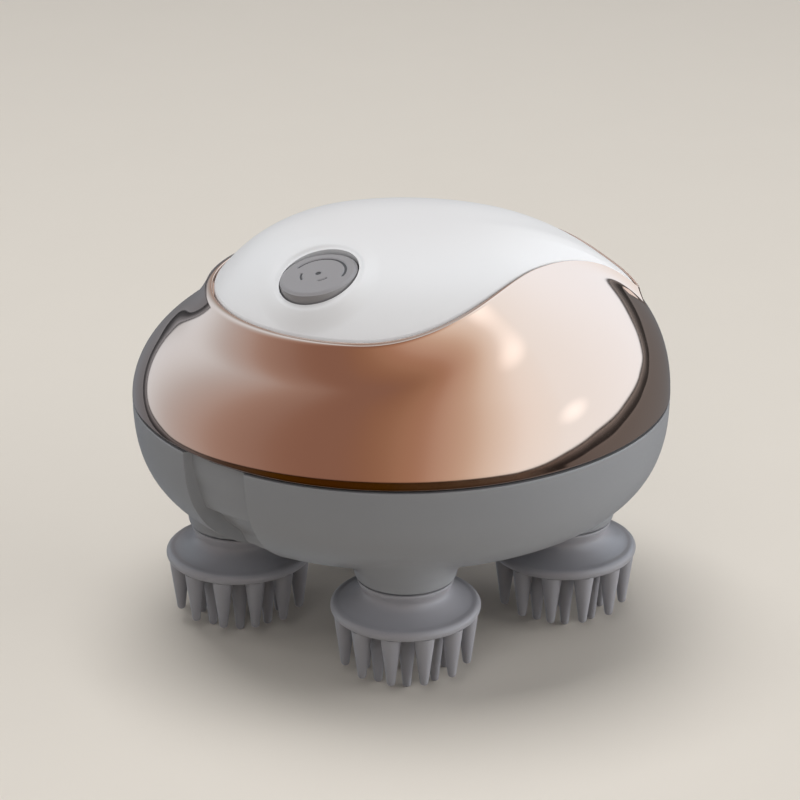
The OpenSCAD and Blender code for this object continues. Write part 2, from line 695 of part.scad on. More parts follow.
BRACKET_POSTS = [[17.2, 0], [0, 17.2], [0, -17.2]];
module gear_cover() {
    color(nylon) difference() {
        union() {
            plate_blank(cover_low, cover_high);
            for (p = PLATE_SCREWS) translate([p[0], p[1], plate_low + plate_thick + fixed_gap])
                cylinder(r = 3, h = cover_low - plate_low - plate_thick + 0.5);
        }
        for (h = HEADS) translate([h[0], h[1], cover_low - 1])
            cylinder(r = shaft_radius + running_gap, h = 10);
        for (p = [LEFT_IDLER, RIGHT_IDLER]) translate([p[0], p[1], cover_low - 1])
            cylinder(r = 1.5 + fixed_gap, h = 10);
        for (p = PLATE_SCREWS) translate([p[0], p[1], plate_low])
            cylinder(r = plate_screw_radius + fixed_gap, h = 20);
        for (p = BRACKET_POSTS) translate([p[0], p[1], cover_low - 1]) cylinder(r = 1 + fixed_gap, h = 10);
        translate([0, 0, cover_low - 1]) cylinder(r = 2 + running_gap, h = 10);
        translate([-stage_distance, 0, cover_low - 1]) cylinder(r = 1 + fixed_gap, h = 10);
    }
}

module screw(radius, head_radius, head_height, length) {
    difference() {
        union() {
            cylinder(r = head_radius, h = head_height);
            translate([0, 0, -length]) cylinder(r = radius, h = length + 0.2);
        }
        translate([0, 0, head_height * 0.45]) {
            translate([-head_radius * 0.6, -0.3, 0]) cube([head_radius * 1.2, 0.6, 5]);
            translate([-0.3, -head_radius * 0.6, 0]) cube([0.6, head_radius * 1.2, 5]);
        }
    }
}

module plate_screws() {
    color(steel) for (p = PLATE_SCREWS) translate([p[0], p[1], cover_high + fixed_gap])
        screw(plate_screw_radius, 2.3, 1.4, 17);
}

module body_screws() {
    color(steel) for (p = BOSSES) translate([p[0], p[1], pocket_high - fixed_gap])
        rotate([180, 0, 0]) screw(body_screw_radius, 2.9, 2, seam_height + 10.8 - pocket_high);
}

// ---------- motor ----------
module motor_bracket() {
    color(steel) difference() {
        union() {
            translate([0, 0, bracket_low]) cylinder(r = 20.2, h = bracket_high - bracket_low);
            for (p = BRACKET_POSTS) translate([p[0], p[1], cover_high + fixed_gap])
                cylinder(r = 2.4, h = bracket_low - cover_high + 0.5);
        }
        for (p = BRACKET_POSTS) translate([p[0], p[1], cover_high - 1]) cylinder(r = 1 + fixed_gap, h = 20);
        translate([-stage_distance, 0, bracket_low - 1]) cylinder(r = 1 + fixed_gap, h = 10);
        translate([0, 0, bracket_low - 1]) cylinder(r = 3.3, h = 10);
        for (side = [-1, 1]) translate([0, side * 8.5, bracket_low - 1])
            cylinder(r = 1 + fixed_gap, h = 10);
    }
}

module bracket_screws() {
    color(steel) for (p = BRACKET_POSTS) translate([p[0], p[1], bracket_high + fixed_gap])
        screw(1, 1.9, 1.2, 15.4);
}

module motor_screws() {
    color(steel) for (side = [-1, 1]) translate([0, side * 8.5, bracket_low - fixed_gap])
        rotate([180, 0, 0]) screw(1, 1.8, 1.1, 3.4);
}

module motor_can() {
    low = bracket_high + fixed_gap;
    color(steel) difference() {
        union() {
            translate([0, 0, low]) cylinder(r = motor_radius, h = can_high - low);
            translate([0, 0, can_high - 0.5]) cylinder(r = 3.5, h = 1.7);
        }
        translate([0, 0, low + 2]) cylinder(r = motor_radius - 1.4, h = can_high - low - 4);
        translate([0, 0, low - 1]) cylinder(r = 1 + running_gap, h = 40);
        for (side = [-1, 1]) translate([0, side * 8.5, low - 1]) cylinder(r = 1 + fixed_gap, h = 4);
        for (side = [-1, 1]) translate([-3.2, side * 7 - 0.6, can_high - 4]) cube([1.2, 1.2, 6]);
    }
}

module motor_rotor() {
    color(steel) union() {
        translate([0, 0, compound_wheel_low]) cylinder(r = 1, h = can_high - compound_wheel_low + 1);
        translate([0, 0, bracket_high + 4.5]) for (i = [0 : 2]) rotate([0, 0, i * 120])
            translate([-0.6, -2.3, 0]) cube([10.2, 4.6, 13]);
        translate([0, 0, can_high - 7]) cylinder(r = 3, h = 4);
    }
}

module motor_pinion() {
    color(brass) difference() {
        gear(PINION, fast_module, mesh(0, WHEEL, PINION, 0), compound_wheel_low - 0.2, bracket_low - 0.4);
        translate([0, 0, compound_wheel_low - 1]) cylinder(r = 1 + fixed_gap, h = 10);
    }
}

module motor_terminals() {
    color(brass) for (side = [-1, 1]) translate([-3.18, side * 7 - 0.58, can_high - 1.9])
        cube([1.16, 1.16, 4.6]);
}

// ---------- electronics ----------
module control_board() {
    color(board_green) at_button() difference() {
        translate([-8.5, -board_reach - 2, board_top - board_thick])
            cube([14.5, 2 * board_reach + 4, board_thick - fixed_gap]);
        for (side = [-1, 1]) translate([0, side * board_reach, board_top - 5])
            cylinder(r = 0.8 + fixed_gap, h = 10);
    }
}

module board_screws() {
    color(steel) at_button() for (side = [-1, 1])
        translate([0, side * board_reach, board_top - board_thick - fixed_gap]) rotate([180, 0, 0])
            screw(0.8, 1.5, 0.9, 3.6);
}

module tact_switch() {
    high = stem_low - button_travel - 0.05;
    color(black) at_button() {
        translate([-3, -3, board_top]) cube([6, 6, high - 1 - board_top]);
        translate([0, 0, high - 1.2]) cylinder(r = 1.6, h = 1.2);
    }
}

module status_light() {
    color(white) at_button() translate([-4.4, 0, board_top]) cylinder(r = 0.8, h = 1.4);
}

module battery_cell() {
    color(rose * 0.8) translate([head_reach_x + 0.3, 0, cover_high + 8.8]) rotate([90, 0, 0]) union() {
        translate([0, 0, -cell_length / 2]) cylinder(r = cell_radius, h = cell_length);
        translate([0, 0, cell_length / 2 - 0.5]) cylinder(r = 2.4, h = 1.4);
    }
}

module battery_holder() {
    color(black) translate([head_reach_x + 0.3, 0, cover_high + fixed_gap]) difference() {
        translate([-7.2, -cell_length / 2 - 2.6, 0]) cube([14.4, cell_length + 5.2, 8]);
        translate([0, 0, 8.8 - fixed_gap]) rotate([90, 0, 0])
            cylinder(r = cell_radius + 0.1, h = cell_length + 2, center = true);
        translate([-9, -cell_length / 2 + 6, 5]) cube([18, cell_length - 12, 9]);
    }
}

// ---------- charging ----------
module charge_board() {
    color(board_green) at_port() difference() {
        translate([-14.6, -7.6, -3.35]) cube([10.4, 15.2, 1.2]);
        for (side = [-1, 1]) translate([-8, side * 5.5, -8]) cylinder(r = 0.8 + fixed_gap, h = 10);
    }
}

module charge_screws() {
    color(steel) at_port() for (side = [-1, 1]) translate([-8, side * 5.5, -2.15 + fixed_gap])
        screw(0.8, 1.1, 0.6, 4.4);
}

module charge_socket() {
    color(steel) at_port() difference() {
        translate([-10.2, -4.4, -2.13]) rounded_slab(8.8, 3.5, 8.2);
        translate([-9, -4, -1.73]) rounded_slab(8, 2.7, 10);
    }
}
module rounded_slab(width, height, depth) {
    r = height / 2;
    for (y = [r, width - r]) translate([0, y, r]) rotate([0, 90, 0]) cylinder(r = r, h = depth);
    translate([0, r, 0]) cube([depth, width - 2 * r, height]);
}

module port_plug() {
    color(pad_grey) at_port() union() {
        translate([fixed_gap - 0.5, -6.4, -3.4]) rounded_slab(12.8, 6.8, 1.5);
        translate([-1.6, -3.6, -1.3]) cube([1.5, 7.2, 2.6]);
    }
}

top_cover();
power_button();
button_mark();
button_membrane();
upper_shell();
lower_shell();
seam_gasket();
control_board();
board_screws();
tact_switch();
status_light();
motor_can();
motor_rotor();
motor_pinion();
motor_terminals();
motor_screws();
motor_bracket();
bracket_screws();
gear_plate();
gear_cover();
plate_screws();
body_screws();
sun_gear();
sun_wheel();
sun_axle();
compound_gear();
compound_axle();
idler_left();
idler_right();
idler_axles();
output_gear_front();
output_gear_back();
output_gear_left();
output_gear_right();
output_shaft_front();
output_shaft_back();
output_shaft_left();
output_shaft_right();
head_hub_front();
head_hub_back();
head_hub_left();
head_hub_right();
massage_pad_front();
massage_pad_back();
massage_pad_left();
massage_pad_right();
shaft_bushes();
shaft_seals();
battery_cell();
battery_holder();
charge_socket();
charge_board();
charge_screws();
port_plug();
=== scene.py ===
# %% [markdown]
# # Electric scalp massager
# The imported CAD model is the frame: it has every part at its real size. This file gives the parts
# that can be seen a finer mesh and every part a finish, then sets up a small studio.
# %% Load the frame
import json
import math
import bmesh
import bpy
import numpy as np
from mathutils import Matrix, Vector

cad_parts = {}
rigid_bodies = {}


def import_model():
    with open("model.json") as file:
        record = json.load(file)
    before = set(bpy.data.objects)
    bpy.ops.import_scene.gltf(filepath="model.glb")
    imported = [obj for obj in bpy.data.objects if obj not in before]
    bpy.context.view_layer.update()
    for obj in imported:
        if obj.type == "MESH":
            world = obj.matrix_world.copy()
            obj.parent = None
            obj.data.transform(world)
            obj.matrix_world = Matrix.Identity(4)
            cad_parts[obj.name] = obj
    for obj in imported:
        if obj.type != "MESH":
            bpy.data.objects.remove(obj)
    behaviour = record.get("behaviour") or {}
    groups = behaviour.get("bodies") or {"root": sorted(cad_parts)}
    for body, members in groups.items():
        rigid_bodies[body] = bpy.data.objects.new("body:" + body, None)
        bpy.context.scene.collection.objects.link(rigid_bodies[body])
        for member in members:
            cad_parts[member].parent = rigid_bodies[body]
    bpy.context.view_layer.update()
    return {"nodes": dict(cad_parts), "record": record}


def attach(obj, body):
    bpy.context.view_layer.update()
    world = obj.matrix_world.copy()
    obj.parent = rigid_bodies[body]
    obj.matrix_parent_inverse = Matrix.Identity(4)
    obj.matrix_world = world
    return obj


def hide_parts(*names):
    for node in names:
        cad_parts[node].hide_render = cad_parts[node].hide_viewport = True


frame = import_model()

# %% [markdown]
# The body is one free-form shape. It could be sculpted, but then its three parts wouldn't share
# their edges. Here the outline and the comma-shaped edge of the white cover are formulas of the
# angle "phi" round the body, so that a mesh can be as fine as we like. phi is 0 at the right end,
# where the cover's tail lies, and -90 at the front. Lengths are in millimetres.
# %% Outline of the body and edge of the cover
MM = 0.001
HALF_LENGTH, HALF_DEPTH, BELT = 64.5, 54.455, 62.0  # the widest level and its height
SHIFT, COVER_RADIUS = 8.35, 34.65  # the cover's round end: its centre lies left of the middle
TAIL, TAIL_FRONT, TAIL_BACK, TAIL_POWER = 29.6, 9.75, 34.0, 1.05  # length, spreads in degrees, fall


def ramp(v, low, high):
    """0 below low, 1 above high, smooth between them."""
    t = np.clip((v - low) / (high - low), 0, 1)
    return t * t * (3 - 2 * t)


def rim_base(phi, soft=0.0):
    """Edge of the cover in the plan. "soft" rounds off the tip of the tail."""
    back = 1 - ramp(phi, 60, 150)
    side = ramp(phi, -soft - 1e-6, soft + 1e-6)
    spread = TAIL_FRONT + (TAIL_BACK - TAIL_FRONT) * back * side
    away = np.sqrt(phi ** 2 + soft ** 2)
    r = COVER_RADIUS + TAIL / (1 + (away / spread) ** TAIL_POWER)
    a = np.radians(phi)
    return np.stack([-SHIFT + r * np.cos(a), r * np.sin(a)], -1)


def rim_point(phi, out):
    """Point at the distance "out" outside the edge, measured square to it."""
    along = rim_base(phi + 0.5) - rim_base(phi - 0.5)
    t = along / np.linalg.norm(along, axis=-1, keepdims=True)
    return rim_base(phi) + out * np.stack([t[..., 1], -t[..., 0]], -1)


turn = np.arange(720) * 0.5 - 180
TURN = turn - 0.55 * np.degrees(np.sin(np.radians(turn)))  # columns lie closer at the tail
print("columns round the body:", len(TURN))

# %% [markdown]
# The height of each point comes from rounded hoods, one for the right half and a lower one for the
# left half. "leftness" blends them. On the left the cover's edge stands clear of the hood, and the
# plated shell hollows up to meet it, which gives the mirror its concave shoulder.
# %% Heights of the cover and of the plated shell
COVER_TOP, COVER_EDGE, RIDGE, RIDGE_WIDTH = 102.0, 86.85, 1.9, 7
RIGHT_RISE, RIGHT_POWER, LEFT_RISE, LEFT_POWER = 43.3, 1.96, 32.3, 1.8
CROWN, CROWN_LESS = 3.62, 0.56  # how flat the cover's crown is, and how much less on the left
TIP_SOFT, TIP_POWER = 22, 0.7
SHOULDER = 0.42  # part of the shell's slope that the hollow takes
LIP, GAP, STEP = 1.2, 0.4, 0.3


def leftness(phi):
    return ramp(np.abs(phi), 25, 95)


def dome_height(p, w):
    rise = RIGHT_RISE + (LEFT_RISE - RIGHT_RISE) * w
    n = RIGHT_POWER + (LEFT_POWER - RIGHT_POWER) * w
    q = np.minimum(1, (p[..., 0] / HALF_LENGTH) ** 2 + (p[..., 1] / HALF_DEPTH) ** 2)
    return BELT + rise * (1 - q ** (n / 2)) ** (1 / n)


def rim_height(phi, soft=0.0):
    p, w = rim_base(phi, soft), leftness(phi)
    ridge = RIDGE * np.exp(-(p[..., 1] / RIDGE_WIDTH) ** 2)
    return (1 - w) * (dome_height(p, 0) + ridge) + w * COVER_EDGE


def cover_point(phi, t):
    """Top of the cover. t runs from 0 in the middle to 1 at the edge."""
    soft = TIP_SOFT * (1 - t) ** TIP_POWER
    p, w = rim_base(phi, soft), leftness(phi)
    z = rim_height(phi, soft)
    fall = t ** (CROWN - CROWN_LESS * w)
    return np.stack([-SHIFT + (p[..., 0] + SHIFT) * t, p[..., 1] * t, z + (COVER_TOP - z) * (1 - fall)], -1)


def shell_point(phi, s):
    """Plated shell. s runs from 0 at the lip to 1 at the widest level."""
    w = leftness(phi)
    a = rim_point(phi, GAP + STEP + LIP * w[..., None])
    f = np.radians(phi)
    b = np.stack([HALF_LENGTH * np.cos(f), HALF_DEPTH * np.sin(f)], -1)
    p = a + (b - a) * s
    rise = (rim_height(phi) - dome_height(a, w)) * np.maximum(0, 1 - s / SHOULDER) ** 3
    return np.concatenate([p, (dome_height(p, w) + rise)[..., None]], -1)


def level(p, z):
    """The plan points p at the height z."""
    return np.concatenate([p[..., :2], np.broadcast_to(z, p.shape[:-1])[..., None]], -1)


heights = rim_height(TURN)
print("edge of the cover:", round(heights.min(), 2), "to", round(heights.max(), 2), "mm high")

# %% [markdown]
# Every fine mesh here is a stack of rings with the same number of points, because rings of a
# formula give clean rows of faces, which a mirror finish needs. One helper joins the rings to
# faces, closes the ends and marks the sharp edges by their angle. A turned part, such as a pad, is
# a stack of circles.
# %% Ring meshes
def ring_mesh(name, rings, closed=False, ends=(True, True), sharp=35):
    """Object from rings of points in millimetres. closed joins the last ring to the first."""
    rings = np.asarray(rings)
    count, n = rings.shape[:2]
    points = list(map(tuple, rings.reshape(-1, 3) * MM))
    faces = []
    for j in range(count if closed else count - 1):
        a, b = j * n, ((j + 1) % count) * n
        faces += [(a + i, b + i, b + (i + 1) % n, a + (i + 1) % n) for i in range(n)]
    if not closed:
        for end, j in ((0, 0), (1, count - 1)):
            if ends[end]:
                points.append(tuple(rings[j].mean(0) * MM))
                last, a = len(points) - 1, j * n
                for i in range(n):
                    pair = (a + i, a + (i + 1) % n)
                    faces.append((last,) + (pair if end == 0 else pair[::-1]))
    mesh = bpy.data.meshes.new(name)
    mesh.from_pydata(points, [], faces)
    mesh.polygons.foreach_set("use_smooth", [True] * len(mesh.polygons))
    mesh.validate()
    mesh.set_sharp_from_angle(angle=math.radians(sharp))
    obj = bpy.data.objects.new(name, mesh)
    bpy.context.scene.collection.objects.link(obj)
    return obj


def revolve(name, profile, n=96, place=(0, 0, 0), sharp=35):
    """Object from a profile of (radius, height) points, turned about Z at "place"."""
    a = np.arange(n) * 2 * math.pi / n
    rings = [np.stack([r * np.cos(a), r * np.sin(a), np.full(n, z)], -1) for r, z in profile]
    return ring_mesh(name, np.array(rings) + np.array(place), sharp=sharp)


print("ring helpers ready")

# %% [markdown]
# Two more tools: one turns all faces outward, the other cuts a hole with an exact boolean. The
# boolean is used only where a real tool would cut or a mould would have a pin, so that the free
# surfaces keep their clean rows.
# %% Turning faces outward and cutting holes
def turn_outward(obj):
    """Faces point out of the closed mesh, whatever way the rings ran."""
    bm = bmesh.new()
    bm.from_mesh(obj.data)
    bmesh.ops.recalc_face_normals(bm, faces=bm.faces)
    bm.to_mesh(obj.data)
    bm.free()
    return obj


def cut(obj, tool):
    """Cuts the tool's solid out of obj, and removes the tool."""
    mod = obj.modifiers.new("cut", "BOOLEAN")
    mod.operation, mod.solver, mod.object = "DIFFERENCE", "EXACT", tool
    dep = bpy.context.evaluated_depsgraph_get()
    mesh = bpy.data.meshes.new_from_object(obj.evaluated_get(dep))
    obj.modifiers.clear()
    obj.data = mesh
    mesh.set_sharp_from_angle(angle=math.radians(35))
    bpy.data.objects.remove(tool)
    return obj


print("mesh tools ready")

# %% [markdown]
# The button sits aslant near the cover's left end, where a thumb finds it. It gets a frame of its
# own: z out of its face, x down the slope. Round it the cover is eased into a flatter seat with a
# small pocket. We do that by moving the cover's points, as a modeller would press clay, and not by
# a boolean, so that the seat stays smooth.
# %% Seat of the button in the cover
TILT, AROUND = math.radians(14), math.radians(215)
PLACE = np.array([-19.8, -21.1, 97.5])
EX = np.array([math.cos(TILT) * math.cos(AROUND), math.cos(TILT) * math.sin(AROUND), -math.sin(TILT)])
EY = np.array([-math.sin(AROUND), math.cos(AROUND), 0])
EZ = np.cross(EX, EY)
SEAT_DEPTH, SEAT_SLOPE, FLAT, BLEND = 0.4, 0.125, 6.5, 14.6  # the seat's plane, and where it fades
POCKET_DEPTH, POCKET, POCKET_EDGE = 0.35, 10.0, 10.9


def from_button(q):
    """Points of the button's frame in the object's frame."""
    return PLACE + q[..., :1] * EX + q[..., 1:2] * EY + q[..., 2:3] * EZ


def dished(p):
    d = p - PLACE
    x, y, w = d @ EX, d @ EY, d @ EZ
    r = np.hypot(x, y)
    plane = -SEAT_DEPTH - SEAT_SLOPE * x
    w = plane + (w - plane) * ramp(r, FLAT, BLEND) - POCKET_DEPTH * (1 - ramp(r, POCKET, POCKET_EDGE))
    return from_button(np.stack([x, y, w], -1))


print("button tilted by", round(math.degrees(TILT), 1), "degrees at", PLACE.tolist())

# %% [markdown]
# The white cover is a moulded shell of even wall. Its rings run from the middle to the rounded
# edge, down the edge and back along the underside. The hole for the button is cut last. Two lines
# then tie the mesh to the model: it moves with the housing, and it is shown instead of the CAD part
# top_cover. Every piece below gets such lines. Its finish, cover_white, is given further down.
# %% White top cover
COVER_WALL, BORE = 2.0, 9.6
steps = 1 - (1 - np.linspace(0, 1, 120)[1:]) ** 1.4
outer = [dished(cover_point(TURN, np.full_like(TURN, t * 0.993))) for t in steps]
edge = [level(rim_point(TURN, out), rim_height(TURN) - down)
        for out, down in ((-0.13, 0.05), (-0.02, 0.2), (0.0, 0.45), (0.0, COVER_WALL))]
under = [dished(cover_point(TURN, np.full_like(TURN, t))) - [0, 0, COVER_WALL]
         for t in np.linspace(0.94, 0.02, 40)]
cover = turn_outward(ring_mesh("cover_skin", outer + edge + under, sharp=50))
ring = np.linspace(0, 2 * math.pi, 192, endpoint=False)
bore = [from_button(np.stack([BORE * np.cos(ring), BORE * np.sin(ring), np.full_like(ring, w)], -1))
        for w in (-12, 12)]
cut(cover, turn_outward(ring_mesh("bore_tool", bore)))
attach(cover, "housing")
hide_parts("top_cover")
print("cover faces:", len(cover.data.polygons))

# %% [markdown]
# The button's sign is an open ring, two short strokes and a dot, a usual sign for switching on. It
# could be a decal, but a groove with dark paint catches the light as the moulded one does. "arc"
# gives the depth of one stroke at any point of the face.
# %% Sign on the button
MARKS = ((6.4, 115, 165, 0.34), (4.1, -52, 36, 0.28), (3.4, 55, 30, 0.28))  # radius, start, sweep, half width
psi = np.linspace(0, 2 * math.pi, 240, endpoint=False)


def arc(r, radius, start, sweep, half):
    """1 on an arc of the face, 0 away from it, with soft sides."""
    middle = math.radians(start + sweep / 2)
    off = np.abs((psi - middle + math.pi) % (2 * math.pi) - math.pi)
    along = np.maximum(0, off - math.radians(sweep / 2)) * radius
    return 1 - ramp(np.hypot(r - radius, along), half * 0.5, half * 1.5)


def sign(r):
    return np.minimum(1, sum(arc(r, *m) for m in MARKS) + (1 - ramp(r, 0.35, 0.95)))


print("strokes of the sign:", len(MARKS), "and a dot")

# %% [markdown]
# The button itself is a slightly domed disc with a soft edge and a hidden collar under the cover,
# which keeps it from falling out. A fine polar grid carries the groove. The faces on the groove's
# floor are remembered, and get the dark paint later.
# %% Power button
MARK_DEPTH, MARK_SHARE = 0.35, 0.3
FACE_RINGS = np.concatenate([np.linspace(0.25, 8.3, 56), [8.6, 8.82, 8.98, 9.1, 9.17]])
BODY_RINGS = ((9.2, -1.2), (9.2, -3.7), (10.2, -3.75), (10.2, -4.4))
rings = []
for r in FACE_RINGS:
    z = -MARK_DEPTH * sign(r) - 0.5 * ramp(r, 8.35, 9.22) + 0.12 * (1 - (r / 9.1) ** 2)
    rings.append(np.stack([r * np.cos(psi), r * np.sin(psi), z - 0.1], -1))
for r, z in BODY_RINGS:
    rings.append(np.stack([r * np.cos(psi), r * np.sin(psi), np.full_like(psi, z)], -1))
button = turn_outward(ring_mesh("button_face", from_button(np.array(rings)), sharp=60))
on_mark = np.concatenate([sign(r) > MARK_SHARE for r in FACE_RINGS])
on_mark = np.append(on_mark, np.zeros(len(psi) * len(BODY_RINGS) + 2, bool))
on_mark[len(psi) * len(rings)] = True  # the face's middle point
dark_faces = [all(on_mark[v] for v in f.vertices) for f in button.data.polygons]
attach(button, "button")
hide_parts("power_button", "button_mark")
print("button faces:", len(button.data.polygons), "on the sign:", sum(dark_faces))

# %% [markdown]
# The upper shell is a dome plated in rose gold. Its rings start at the lip under the cover's edge,
# sweep down through the hollow shoulder to the widest level and end at the seam. A mirror shows
# every facet, so the rings lie closer where the surface turns quickly. Just above the widest level
# the plating turns upright a little lower than a plain hood would.
# %% Rose mirror shell
SEAM, SEAM_RISE = 57.2, 2
LIP_DEPTH, LIP_ROUND = 2.1, 0.4
BELT_DROP, BELT_ZONE = 2.4, 14
SHELL_WALL, SHELL_ROOF = 2.2, 1.8


def seam_level(phi):
    return SEAM + SEAM_RISE * np.cos(np.radians(phi)) ** 2


shell = [level(rim_point(TURN, out), rim_height(TURN) - LIP_DEPTH) for out in (0.02, GAP)]
for k in np.linspace(0, math.pi / 2, 7):
    out, down = GAP + STEP * (1 - math.cos(k)), LIP_ROUND * (1 - math.sin(k))
    shell.append(level(rim_point(TURN, out), rim_height(TURN) - down))
for k in np.linspace(0, 1, 150)[1:]:
    p = shell_point(TURN, 1 - (1 - k) ** 2)
    low = np.maximum(0, 1 - (p[:, 2] - BELT) / BELT_ZONE)
    p[:, 2] -= BELT_DROP * low ** 2
    shell.append(p)
belt, foot = shell[-1], seam_level(TURN) + 0.3
for k in np.linspace(0, 1, 6)[1:]:
    shell.append(level(belt, belt[:, 2] + (foot + 0.35 - belt[:, 2]) * k))
shell.append(level(belt * [0.998, 0.998, 1], foot + 0.08))
shell.append(level(belt * [0.994, 0.994, 1], foot))
shell.append(level(belt * [0.965, 0.962, 1], foot))
for s in (1.0, 0.93, 0.8, 0.64, 0.46, 0.28, 0.12):
    p = shell_point(TURN, s)
    d = np.linalg.norm(p[:, :2], axis=1, keepdims=True)
    shell.append(np.concatenate([p[:, :2] * (1 - SHELL_WALL / d), p[:, 2:] - SHELL_ROOF], 1))
dome = turn_outward(ring_mesh("mirror_shell", shell, closed=True, sharp=60))
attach(dome, "housing")
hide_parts("upper_shell")
print("dome faces:", len(dome.data.polygons))

# %% [markdown]
# The lower shell is a deep bowl with a flat underside. A recess for the fingers is pressed into it
# between the front and the left head, with a sharp wall on its left and a soft one on its right.
# As a formula it is a depth that is taken off the bowl's radius inside a window of angles.
# %% Shape of the lower shell
DEPTH, POWER, UNDER, BOWL_WALL = 37.0, 3.05, 28.0, 2.2
RECESS_LEFT, RECESS_RIGHT = (-142.9, -142.2), (-126.8, -125.2)


def bowl_scale(z, depth):
    return np.maximum(0, 1 - (np.maximum(0, BELT - z) / depth) ** POWER) ** (1 / POWER)


def recess(phi, z):
    window = ramp(phi, *RECESS_LEFT) * (1 - ramp(phi, *RECESS_RIGHT))
    depth = 2 + 0.8 * ramp(-z, -54, -49) + 2.4 * ramp(-z, -43, -41)
    return window * depth * ramp(z, 29, 35)


def bowl_point(phi, z, inset=0.0):
    k = bowl_scale(z, DEPTH - inset)
    d = recess(phi, z)
    a = np.radians(phi)
    return np.stack([((HALF_LENGTH - inset) * k - d) * np.cos(a),
                     ((HALF_DEPTH - inset) * k - d) * np.sin(a), np.broadcast_to(z, phi.shape)], -1)


BOWL_TURN = np.unique(np.concatenate([np.arange(-180, 180, 0.6), np.linspace(-143.2, -142, 15),
                                      np.linspace(-127, -125, 15)]))
BOWL_TURN = BOWL_TURN[BOWL_TURN < 179.9]
print("columns of the bowl:", len(BOWL_TURN), "closer at the walls of the recess")

# %% [markdown]
# The bowl's rings run from the inner floor up the inside, over the edge at the seam, down the
# outside and across the underside. Four pockets in the underside hide the heads of the body
# screws, and a post stands on each to take the screw.
# %% Lower shell and its screw posts
BOSSES = [(28.6, 22), (28.6, -22), (-29, 22), (-29, -25)]
POST = [(4, 29.8), (3.2, 29.8), (3.2, 34), (1.6, 34), (1.6, 56.8), (4, 56.8), (4, 29.8)]
top = seam_level(BOWL_TURN) - 0.3
rings = [bowl_point(BOWL_TURN, top, 0.5), bowl_point(BOWL_TURN, top - 0.05, 0.12)]
for k in np.linspace(0, 1, 110):
    rings.append(bowl_point(BOWL_TURN, top - 0.3 + (UNDER - top + 0.3) * (1 - (1 - k) ** 1.5)))
bottom = rings[-1]
rings += [level(bottom * [k, k, 1], UNDER) for k in (0.97, 0.8, 0.6, 0.4, 0.2)]
inside = [bowl_point(BOWL_TURN, z, BOWL_WALL) for z in np.linspace(30.3, 55, 12)]
base = [level(inside[0] * [k, k, 1], 30.2) for k in (0.2, 0.6, 0.95)]
chain = base + inside + [bowl_point(BOWL_TURN, top, BOWL_WALL)] + rings
bowl = turn_outward(ring_mesh("bowl", chain, sharp=40))
for x, y in BOSSES:
    cut(bowl, revolve("pocket_tool", [(3.2, 20), (3.2, 34)], n=48, place=(x, y, 0)))
for i, (x, y) in enumerate(BOSSES):
    post = revolve("screw_post_%d" % i, POST, n=48, place=(x, y, 0))
    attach(post, "housing")
    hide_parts("lower_shell")
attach(bowl, "housing")
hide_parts("lower_shell")
print("bowl faces:", len(bowl.data.polygons), "screw posts:", len(BOSSES))

# %% [markdown]
# Each head turns in a collar that flows out of the bowl. A smooth minimum of the collar's profile
# and the bowl's height gives the fillet between them, without a bevel tool. The collar's foot is
# open in the middle, where the head's hub comes through.
# %% Collars of the four heads
HEADS = {"front": (0, -30.505), "back": (0, 30.505), "left": (-39.775, 0), "right": (39.775, 0)}
FOOT = ((6.7, 27.6), (6.7, 25.3), (6.8, 25.2), (10.6, 25.2), (11.2, 25.22), (11.5, 25.28))
CONE = np.array([(11.5, 25.2), (11.95, 25.5), (12.2, 26.3), (12.3, 27.3), (12.5, 28.1), (13.0, 29.3),
                 (14.2, 32.0), (15.6, 35.3), (20, 46)])
COLLAR_RINGS = np.concatenate([np.linspace(11.6, 12.6, 14)[:-1], np.linspace(12.6, 19, 40), [19.3]])
FILLET = 2.6


def bowl_height(x, y):
    q = np.minimum(1, (x / HALF_LENGTH) ** 2 + (y / HALF_DEPTH) ** 2)
    return np.maximum(UNDER, BELT - DEPTH * (1 - q ** (POWER / 2)) ** (1 / POWER))


def smooth_min(a, b, width):
    h = np.clip(0.5 + 0.5 * (b - a) / width, 0, 1)
    return b + (a - b) * h - width * h * (1 - h)


around = np.linspace(0, 2 * math.pi, 144, endpoint=False)
for side_name, (hx, hy) in HEADS.items():
    rings = [np.stack([hx + r * np.cos(around), hy + r * np.sin(around), np.full(144, z)], -1) for r, z in FOOT]
    for r in COLLAR_RINGS:
        x, y = hx + r * np.cos(around), hy + r * np.sin(around)
        z = smooth_min(np.full(144, np.interp(r, CONE[:, 0], CONE[:, 1])), bowl_height(x, y), FILLET)
        rings.append(np.stack([x, y, z + (0.3 if r > 19.1 else -0.02)], -1))
    collar = ring_mesh("collar_" + side_name, rings, ends=(False, False), sharp=60)
    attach(collar, "housing")
    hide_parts("lower_shell")
print("collars:", len(HEADS))

# %% [markdown]
# A pad is one moulding of soft silicone: a saucer with a waist and a rolled rim, and twenty-one
# tapered fingers below it. Its profile is given by a few points. A Catmull-Rom curve runs through
# all of them, so the points can be read off the real pad directly.
# %% Profiles of the massage pads
SAUCER = [(0.5, 24.9), (10.7, 24.92), (11.3, 24.75), (11.5, 24.3), (11.2, 23.5), (10.75, 22.7), (10.6, 22.0),
          (10.85, 21.3), (11.7, 20.4), (13.2, 19.45), (14.7, 18.8), (15.7, 18.5), (16.4, 18.42), (17.0, 18.3),
          (17.45, 18.0), (17.78, 17.5), (17.85, 17.0), (17.7, 16.4), (17.35, 16.0), (16.8, 15.75), (15.9, 15.7),
          (8, 15.7), (0.5, 15.7)]
ROOT = [(2.5, 15.9), (2.46, 15.3), (2.4, 14.6), (2.3, 13.8)]
TIP_RADIUS, TIP_ROUND = 1.0, 0.85


